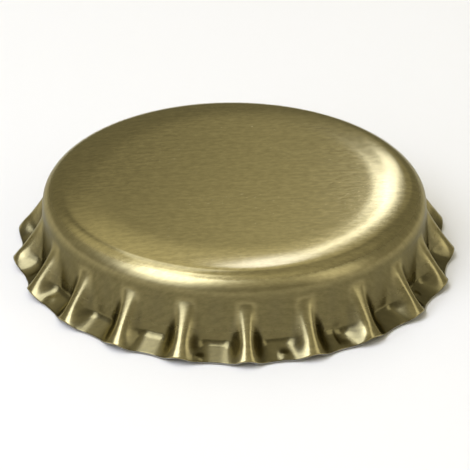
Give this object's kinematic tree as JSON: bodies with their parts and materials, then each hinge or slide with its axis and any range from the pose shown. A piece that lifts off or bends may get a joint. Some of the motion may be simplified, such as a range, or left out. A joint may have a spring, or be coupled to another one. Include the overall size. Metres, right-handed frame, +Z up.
{
  "type": "bottle cap",
  "caption": "Uncrimped crown cap for a glass bottle: pressed top with a level middle, rounded shoulder, fluted skirt that flares out to its edge, and a moulded liner inside.",
  "frame": {"origin": "on the cap's axis, at the level of the skirt's lowest edge, which it stands on", "axes": "+Z up along the cap's axis, towards the flat top; +X through the middle of one crest"},
  "size_m": [0.0319, 0.032, 0.006],
  "materials": {
    "gold_lacquer": "satin gold lacquer over rolled tinplate, with the fine straight grain of rolling showing through",
    "liner_compound": "soft off-white moulded sealing compound"
  },
  "bodies": {
    "root": {"shell": "gold_lacquer", "liner": "liner_compound"}
  },
  "joints": []
}
